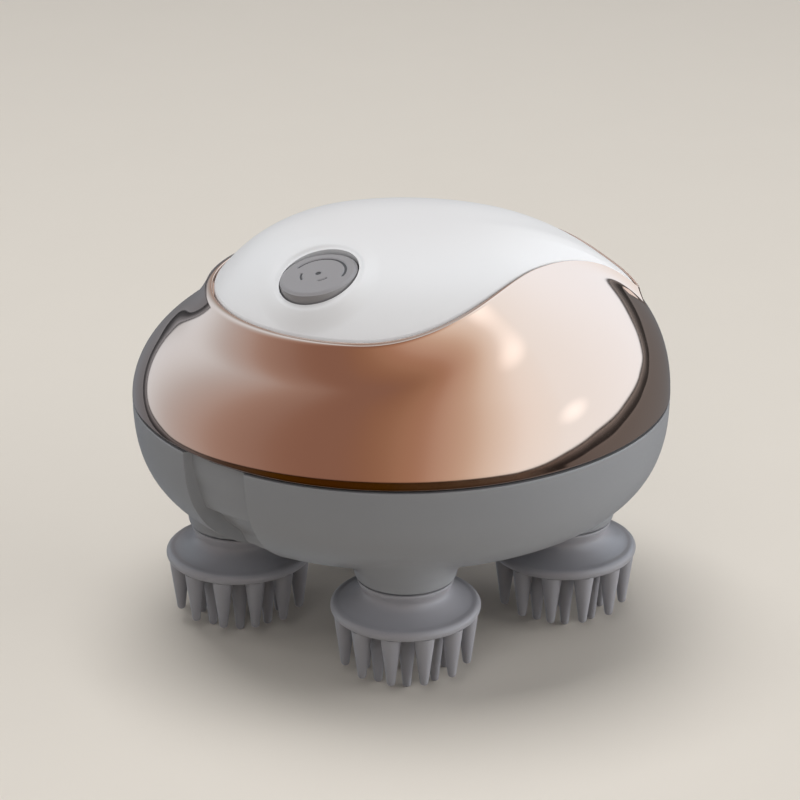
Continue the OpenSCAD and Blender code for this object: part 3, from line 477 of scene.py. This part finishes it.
def smooth_profile(points, parts=4):
    """Catmull-Rom curve through the points."""
    p = np.array(points, float)
    p = np.vstack([p[0], p, p[-1]])
    out = []
    for i in range(1, len(p) - 2):
        for t in np.arange(parts) / parts:
            a, b, c, d = p[i - 1:i + 3]
            out.append(0.5 * (2 * b + (c - a) * t + (2 * a - 5 * b + 4 * c - d) * t ** 2
                              + (3 * b - a - 3 * c + d) * t ** 3))
    return out + [p[-1]]


def finger_profile(tip):
    """Finger from its root under the saucer to its round tip at the height "tip"."""
    (root_radius, root_low), low = ROOT[-1], tip + TIP_ROUND
    body = [(TIP_RADIUS + (root_radius - TIP_RADIUS) * k, low + (root_low - low) * k)
            for k in (0.75, 0.5, 0.25, 0.0)]
    cap = [(TIP_RADIUS * math.cos(a), tip + TIP_ROUND * (1 - math.sin(a))) for a in np.radians([20, 40, 58, 72, 82])]
    return ROOT + body + cap


print("points of the saucer's curve:", len(smooth_profile(SAUCER)))

# %% [markdown]
# The fingers stand in two circles round a middle one, and the outer ones end 3 mm higher, so that
# the pad hugs the scalp. Saucer and fingers are joined to one piece, as they come from one mould,
# and the piece turns with its head.
# %% Massage pads
# radius of the circle, first angle, count of fingers, height of their tips
CIRCLES = ((14.95, -75, 12, 3.0), (9.43, -90, 8, 0.0), (0, 0, 1, 0.0))


def join(name, objs):
    with bpy.context.temp_override(active_object=objs[0], selected_editable_objects=objs):
        bpy.ops.object.join()
    objs[0].name = name
    return objs[0]


places = [(r, math.radians(start + 360 // count * i), tip)
          for r, start, count, tip in CIRCLES for i in range(count)]
for side_name, (hx, hy) in HEADS.items():
    parts = [revolve("saucer", smooth_profile(SAUCER), n=144, place=(hx, hy, 0), sharp=70)]
    for r, a, tip in places:
        place = (hx + r * math.cos(a), hy + r * math.sin(a), 0)
        parts.append(revolve("finger", finger_profile(tip), n=32, place=place, sharp=70))
    pad = join("pad_" + side_name, [turn_outward(p) for p in parts])
    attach(pad, "head_" + side_name)
    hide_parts("massage_pad_" + side_name)
print("fingers on a pad:", len(places))

# %% [markdown]
# The charging port is at the back, under a soft plug. The plug sits in a shallow seat that is cut
# into the bowl, so that it lies nearly flush. Both have the round-ended outline of such ports, and
# "stadium" draws it square to the bowl's wall.
# %% Charging port and its plug
PORT_TURN, PORT_Z = 132.0, 49.5
PLUG_WIDTH, PLUG_HEIGHT, PLUG_ROUND = 12.8, 6.8, 0.9
port_at = bowl_point(np.array([PORT_TURN]), np.array([PORT_Z]))[0]
port_angle = math.radians(PORT_TURN)
out_angle = math.atan2(math.sin(port_angle) / HALF_DEPTH, math.cos(port_angle) / HALF_LENGTH)
OUT = np.array([math.cos(out_angle), math.sin(out_angle), 0])
ALONG = np.array([-math.sin(out_angle), math.cos(out_angle), 0])


def stadium(width, height, x, n=64):
    """Ring with round ends, standing at "x" outwards from the port."""
    r, a = height / 2, np.linspace(0, 2 * math.pi, n, endpoint=False)
    u = r * np.cos(a) + np.sign(np.cos(a)) * (width / 2 - r)
    return port_at + x * OUT + u[:, None] * ALONG + (r * np.sin(a))[:, None] * np.array([0, 0, 1])


cut(bowl, turn_outward(ring_mesh("seat_tool", [stadium(13.2, 7.2, -0.5), stadium(13.2, 7.2, 5)])))
cut(bowl, turn_outward(ring_mesh("slot_tool", [stadium(9.2, 3.8, -6), stadium(9.2, 3.8, 5)])))
rings = [stadium(7.2, 2.6, -1.6), stadium(7.2, 2.6, -0.48)]
rings += [stadium(PLUG_WIDTH, PLUG_HEIGHT, x) for x in (-0.48, 0.55)]
for k in np.linspace(0, math.pi / 2, 6)[1:]:
    less = PLUG_ROUND * (1 - math.cos(k))
    rings.append(stadium(PLUG_WIDTH - less, PLUG_HEIGHT - less, 0.55 + 0.45 * math.sin(k)))
plug = turn_outward(ring_mesh("plug_face", rings, sharp=60))
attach(plug, "plug")
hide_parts("port_plug")
print("port at", [round(float(v), 1) for v in port_at])

# %% [markdown]
# Each finish is a small node tree, so that it works on every mesh without unwrapping. A broad noise
# shifts the colour a little, and a fine one the roughness and a faint bump. Plastic gets a moulded
# grain, the mirror plating a slight waviness, silicone a skin that lets a little light in.
# %% Material helper
def finish(name, colour, rough, metal=0.0, grain=900.0, grain_bump=0.02, tone=0.04, rough_spread=0.06, coat=0.0,
           soft=0.0, wave=0.0):
    m = bpy.data.materials.new(name)
    m.use_nodes = True
    nodes, links = m.node_tree.nodes, m.node_tree.links
    shader = nodes["Principled BSDF"]
    where = nodes.new("ShaderNodeTexCoord")
    fine, broad = nodes.new("ShaderNodeTexNoise"), nodes.new("ShaderNodeTexNoise")
    for noise, scale, detail in ((fine, grain, 4), (broad, 35, 3)):
        noise.inputs["Scale"].default_value = scale
        noise.inputs["Detail"].default_value = detail
        links.new(where.outputs["Object"], noise.inputs["Vector"])
    shade = nodes.new("ShaderNodeMix")
    shade.data_type = "RGBA"
    shade.inputs[6].default_value = (*[c * (1 - tone) for c in colour], 1)
    shade.inputs[7].default_value = (*[min(1, c * (1 + tone)) for c in colour], 1)
    links.new(broad.outputs["Fac"], shade.inputs[0])
    links.new(shade.outputs[2], shader.inputs["Base Color"])
    spread = nodes.new("ShaderNodeMapRange")
    spread.inputs["To Min"].default_value = max(0.02, rough - rough_spread)
    spread.inputs["To Max"].default_value = rough + rough_spread
    links.new(fine.outputs["Fac"], spread.inputs["Value"])
    links.new(spread.outputs["Result"], shader.inputs["Roughness"])
    bump = nodes.new("ShaderNodeBump")
    bump.inputs["Strength"].default_value = grain_bump
    bump.inputs["Distance"].default_value = 0.0002
    links.new(fine.outputs["Fac"], bump.inputs["Height"])
    links.new(bump.outputs["Normal"], shader.inputs["Normal"])
    if wave:
        slow = nodes.new("ShaderNodeBump")
        slow.inputs["Strength"].default_value = wave
        slow.inputs["Distance"].default_value = 0.0005
        links.new(broad.outputs["Fac"], slow.inputs["Height"])
        links.new(slow.outputs["Normal"], bump.inputs["Normal"])
    shader.inputs["Metallic"].default_value = metal
    shader.inputs["Coat Weight"].default_value = coat
    shader.inputs["Coat Roughness"].default_value = 0.12
    if soft:
        shader.inputs["Subsurface Weight"].default_value = soft
        shader.inputs["Subsurface Radius"].default_value = (1.0, 0.8, 0.7)
        shader.inputs["Subsurface Scale"].default_value = 0.002
    return m


print("material helper ready")

# %% [markdown]
# The finishes of this massager. The plating is a metal of low roughness whose colour is the rose
# gold itself. The cover and the shell are satin plastics, and the shell's thin coat gives the soft
# shine along its shoulder. The inner parts get plain workshop finishes: nylon gears, turned steel,
# brass, a green board and a wrapped cell.
# %% Finishes of this massager
FINISH = {
    "cover_white": finish("satin_white_cover", (0.82, 0.82, 0.83), 0.36, tone=0.01, grain_bump=0.01),
    "shell_rose": finish("rose_mirror_plating", (0.83, 0.66, 0.57), 0.07, metal=1.0, tone=0.02, rough_spread=0.02,
                         grain=400, grain_bump=0.004, wave=0.01),
    "shell_grey": finish("grey_moulded_shell", (0.285, 0.295, 0.315), 0.33, tone=0.03, grain_bump=0.04, coat=0.15),
    "button_grey": finish("grey_button", (0.315, 0.307, 0.318), 0.45, tone=0.03, grain_bump=0.05),
    "pad_grey": finish("grey_silicone", (0.335, 0.335, 0.365), 0.31, grain=500, grain_bump=0.03, soft=0.08),
    "soft_black": finish("black_silicone", (0.02, 0.02, 0.022), 0.6),
    "mark_dark": finish("dark_print", (0.075, 0.075, 0.08), 0.5),
    "board_green": finish("board_green", (0.02, 0.11, 0.06), 0.35, tone=0.15),
    "black_plastic": finish("black_plastic", (0.02, 0.02, 0.022), 0.5),
    "light_clear": finish("milky_light", (0.8, 0.8, 0.78), 0.3, soft=0.2),
    "gear_nylon": finish("natural_nylon", (0.70, 0.66, 0.56), 0.45, soft=0.1),
    "steel": finish("turned_steel", (0.55, 0.56, 0.58), 0.28, metal=1.0, rough_spread=0.1),
    "screw_steel": finish("zinc_screws", (0.50, 0.51, 0.54), 0.35, metal=1.0, rough_spread=0.1),
    "brass": finish("turned_brass", (0.70, 0.50, 0.22), 0.3, metal=1.0, rough_spread=0.1),
    "cell_wrap": finish("cell_wrap", (0.04, 0.12, 0.30), 0.35, coat=0.3),
}
print("finishes:", len(FINISH))

# %% [markdown]
# Now every part gets its finish. The CAD parts take it by the slot that their record names, and the
# fine meshes by the start of their name. The button has two finishes, one of them only on the
# groove's faces.
# %% Finish of every piece
PIECE_FINISH = {"cover_skin": "cover_white", "button_face": "button_grey", "mirror_shell": "shell_rose",
                "bowl": "shell_grey", "collar_": "shell_grey", "screw_post": "shell_grey",
                "pad_": "pad_grey", "plug_face": "pad_grey"}
slot_of = {p["node"]: p["material_slot"] for p in frame["record"]["subparts"]}
for name, node in frame["nodes"].items():
    if not node.data.materials:
        node.data.materials.append(None)
    for i in range(len(node.data.materials)):
        node.data.materials[i] = FINISH[slot_of[name]]
dressed = 0
for o in bpy.data.objects:
    if o.type == "MESH" and o.name not in frame["nodes"]:
        for start, slot in PIECE_FINISH.items():
            if o.name.startswith(start):
                o.data.materials.clear()
                o.data.materials.append(FINISH[slot])
                dressed += 1
button.data.materials.append(FINISH["mark_dark"])
for face, dark in zip(button.data.polygons, dark_faces):
    face.material_index = int(dark)
print("CAD parts:", len(frame["nodes"]), "fine pieces:", dressed)

# %% [markdown]
# The floor is a plain pale sheet that catches the shadow. The plating doesn't see it: all that the
# mirror shows comes from the world, where the dark band at its foot can be shaped with a few numbers.
# %% Floor
FLOOR_HALF = 4
pale = finish("pale_floor", (0.78, 0.73, 0.66), 0.8, tone=0.01, rough_spread=0.02, grain=60, grain_bump=0.0)
floor_mesh = bpy.data.meshes.new("studio_floor")
floor_mesh.from_pydata([(x * FLOOR_HALF, y * FLOOR_HALF, 0) for x, y in ((-1, -1), (1, -1), (1, 1), (-1, 1))],
                       [], [(0, 1, 2, 3)])
floor_mesh.materials.append(pale)
floor_sheet = bpy.data.objects.new("studio_floor", floor_mesh)
bpy.context.scene.collection.objects.link(floor_sheet)
floor_sheet.visible_glossy = False
print("floor of", 2 * FLOOR_HALF, "m")

# %% [markdown]
# Six softboxes light the massager: a strong one above, a low one on the right that models the pads
# and the bowl, and weak fills elsewhere. They are hidden from the mirror, where their square shapes
# would disturb the calm walls. Their powers were balanced against each other until the white cover
# stayed below clipping and the grey shell kept its soft fall from right to left.
# %% Lamps
LAMP_WIDTH, LAMP_AIM = 0.8, (0, 0, 0.06)
LAMPS = [("top_softbox", (-0.1, 0.2, 1.25), 0.8, 10.5), ("right_front_softbox", (0.9, -0.6, 0.5), 0.8, 3),
         ("right_softbox", (1.15, 0.1, 0.45), 0.8, 1), ("low_right_softbox", (1.15, 0.1, 0.12), 0.3, 7.5),
         ("front_left_softbox", (-0.3, -1.0, 1.0), 0.8, 3), ("left_softbox", (-1.15, 0.1, 0.45), 0.8, 2.6)]
for name, place, height, power in LAMPS:
    data = bpy.data.lights.new(name, "AREA")
    data.shape, data.size, data.size_y, data.energy = "RECTANGLE", LAMP_WIDTH, height, power
    softbox = bpy.data.objects.new(name, data)
    softbox.location = place
    softbox.rotation_euler = (Vector(LAMP_AIM) - Vector(place)).to_track_quat("-Z", "Y").to_euler()
    softbox.visible_glossy = False
    bpy.context.scene.collection.objects.link(softbox)
print("lamps:", len(LAMPS), "together", sum(power for *_, power in LAMPS), "W")

# %% [markdown]
# A mirror shows only what stands round it, so the walls of the studio matter more than its lamps.
# They could be real planes, but a world that gives each bearing its own tone is simpler and has no
# edges. Seen from the massager, a brown wall stands in front, white ones to the right and behind on
# the left, a grey one to the left, and below a line the dark ground begins. Bearings are in degrees:
# 0 is the front and 90 the right.
# %% Tones of the studio's walls
WALLS = [(-178, (0.36, 0.28, 0.24)), (-160, (0.48, 0.50, 0.52)), (-142, (0.73, 0.83, 0.92)),
         (-112, (0.56, 0.58, 0.61)), (-82, (0.42, 0.33, 0.30)), (-52, (0.30, 0.185, 0.145)),
         (-22, (0.27, 0.15, 0.107)), (-5, (0.35, 0.20, 0.13)), (8, (0.48, 0.31, 0.23)),
         (24, (0.70, 0.58, 0.49)), (40, (0.93, 0.92, 0.90)), (60, (0.99, 1.07, 1.12)),
         (150, (1.05, 1.2, 1.35)), (160, (0.85, 0.9, 0.95)), (178, (0.36, 0.28, 0.24))]
WALL_LEVEL = 1.5  # a ramp holds tones up to 1 only, so the walls are divided by this and raised again
# height of the ground's edge by bearing, as the z of a ray
GROUND_LINE = [(-178, 0.20), (-165, 0.13), (-150, 0.16), (-130, -0.12), (-110, -0.30), (-90, -0.375), (-50, -0.385),
               (42, -0.385), (58, -0.30), (74, -0.20), (92, -0.12), (110, -0.02), (121, 0.06), (131, 0.17),
               (142, 0.22), (160, 0.22), (178, 0.20)]
GROUND = [(-178, (0.17, 0.175, 0.185)), (-150, (0.20, 0.22, 0.25)), (-70, (0.055, 0.034, 0.022)),
          (40, (0.065, 0.042, 0.028)), (70, (0.13, 0.115, 0.11)), (110, (0.16, 0.155, 0.155)),
          (178, (0.17, 0.175, 0.185))]
# streaks of the ground by how far a ray looks below the line: half of what the tone is multiplied by
STREAKS = [(-0.25, 0.5), (-0.185, 0.52), (-0.165, 0.66), (-0.155, 0.07), (-0.11, 0.16), (-0.07, 0.42), (-0.035, 0.8),
           (-0.02, 0.14), (0.0, 0.10)]
GLOWS = [(47, 58, 3.2), (64.5, 9.5, 4.2)]  # two small lamps seen in the plating: bearing, elevation, radius
ROOM, BACKDROP = (0.06, 0.06, 0.06), (0.74, 0.69, 0.62)  # what matt surfaces and the lens see
print("wall tones:", len(WALLS), "ground tones:", len(GROUND))

# %% [markdown]
# The world is a node tree. These helpers each add one node and give back its output, so that the
# tree below can be read as a sum. They take numbers or the outputs of other nodes.
# %% Node helpers of the world
world = bpy.data.worlds.new("studio_walls")
bpy.context.scene.world = world
world.use_nodes = True
wn, wl = world.node_tree.nodes, world.node_tree.links


def feed(socket, v):
    """Sets a socket's value, or links it to an output."""
    if isinstance(v, bpy.types.NodeSocket):
        wl.new(v, socket)
    else:
        socket.default_value = v


def math_node(kind, a, b):
    n = wn.new("ShaderNodeMath")
    n.operation = kind
    feed(n.inputs[0], a)
    feed(n.inputs[1], b)
    return n.outputs[0]


def vector_node(kind, a, b=None, scale=None):
    n = wn.new("ShaderNodeVectorMath")
    n.operation = kind
    feed(n.inputs[0], a)
    if b is not None:
        feed(n.inputs[1], b)
    if scale is not None:
        n.inputs["Scale"].default_value = scale
    return n.outputs["Value" if kind == "DOT_PRODUCT" else "Vector"]


def map_range(value, low, high):
    n = wn.new("ShaderNodeMapRange")
    n.inputs["From Min"].default_value, n.inputs["From Max"].default_value = low, high
    wl.new(value, n.inputs["Value"])
    return n.outputs["Result"]


def ramp_node(value, stops, low=-180, high=180, smooth="CARDINAL"):
    n = wn.new("ShaderNodeValToRGB")
    n.color_ramp.interpolation = smooth
    wl.new(value, n.inputs["Fac"])
    while len(n.color_ramp.elements) < len(stops):
        n.color_ramp.elements.new(0.5)
    for e, (place, c) in zip(n.color_ramp.elements, stops):
        e.position = (place - low) / (high - low)
        e.color = (*c, 1) if isinstance(c, tuple) else (c, c, c, 1)
    return n.outputs["Color"]


def mix_colour(fac, a, b):
    n = wn.new("ShaderNodeMix")
    n.data_type = "RGBA"
    wl.new(fac, n.inputs[0])
    for i, v in ((6, a), (7, b)):
        feed(n.inputs[i], (*v, 1) if isinstance(v, tuple) else v)
    return n.outputs[2]


print("world helpers ready")

# %% [markdown]
# The walls, put together. The direction of a ray gives its bearing and its height. The bearing picks
# the wall's tone, and the height says whether the ray meets the wall or the ground. Only glossy rays
# see all this. The lens and the matt surfaces see a plain pale room, which keeps their light even.
# %% Walls, ground and glows
LINE_RAISE, LINE_SOFT, STREAK_DEPTH = 0.5, 0.012, 0.25
GLOW_SPREAD, GLOW_POWER, GLOW_LEVEL = 2.2, 1.6, 0.34
looks = wn.new("ShaderNodeTexCoord")
axes = wn.new("ShaderNodeSeparateXYZ")
wl.new(looks.outputs["Generated"], axes.inputs[0])
bearing = math_node("ARCTAN2", axes.outputs[0], math_node("MULTIPLY", axes.outputs[1], -1.0))
turn_fac = map_range(bearing, -math.pi, math.pi)
ground_line = ramp_node(turn_fac, [(a, v + LINE_RAISE) for a, v in GROUND_LINE])
over = math_node("SUBTRACT", math_node("ADD", axes.outputs[2], LINE_RAISE), ground_line)
streaks = ramp_node(map_range(over, -STREAK_DEPTH, 0.0), STREAKS, -STREAK_DEPTH, 0.0, "EASE")
ground = vector_node("SCALE", vector_node("MULTIPLY", ramp_node(turn_fac, GROUND), streaks), scale=2.0)
wall_ramp = ramp_node(turn_fac, [(a, tuple(v / WALL_LEVEL for v in c)) for a, c in WALLS])
bright = vector_node("SCALE", wall_ramp, scale=WALL_LEVEL)
for b, e, radius in GLOWS:
    b, e = math.radians(b), math.radians(e)
    towards = (math.sin(b) * math.cos(e), -math.cos(b) * math.cos(e), math.sin(e))
    near = vector_node("DOT_PRODUCT", looks.outputs["Generated"], towards)
    glow = map_range(near, math.cos(math.radians(GLOW_SPREAD * radius)), 1.0)
    glow = math_node("MULTIPLY", math_node("POWER", glow, GLOW_POWER), GLOW_LEVEL)
    bright = vector_node("ADD", bright, glow)
walls = mix_colour(map_range(over, -LINE_SOFT, LINE_SOFT), ground, bright)
ray = wn.new("ShaderNodeLightPath")
room = mix_colour(ray.outputs["Is Camera Ray"], ROOM, BACKDROP)
wl.new(mix_colour(ray.outputs["Is Glossy Ray"], room, walls), wn["Background"].inputs["Color"])
print("world nodes:", len(wn))

# %% [markdown]
# The camera looks from the front, 23 degrees up, with a long lens, so that the four heads keep
# nearly the same size. Its angles were fitted to the places of the heads. The plain Standard view
# transform keeps the colours of the finishes as they were set.
# %% Camera
AZIMUTH, ELEVATION, DISTANCE, AIM = -1.802, 23.44, 0.7468, (-0.00037, 0.0, 0.05638)
SENSOR, LENS = 36.0, 139.6
cam_data = bpy.data.cameras.new("camera")
cam_data.sensor_width, cam_data.lens = SENSOR, LENS
camera = bpy.data.objects.new("camera", cam_data)
bpy.context.scene.collection.objects.link(camera)
az, el = math.radians(AZIMUTH), math.radians(ELEVATION)
back = Vector((math.sin(az) * math.cos(el), -math.cos(az) * math.cos(el), math.sin(el)))
camera.location = Vector(AIM) + back * DISTANCE
camera.rotation_euler = (-back).to_track_quat("-Z", "Y").to_euler()
bpy.context.scene.camera = camera
bpy.context.scene.view_settings.view_transform = "Standard"
print("camera at", [round(v, 3) for v in camera.location])
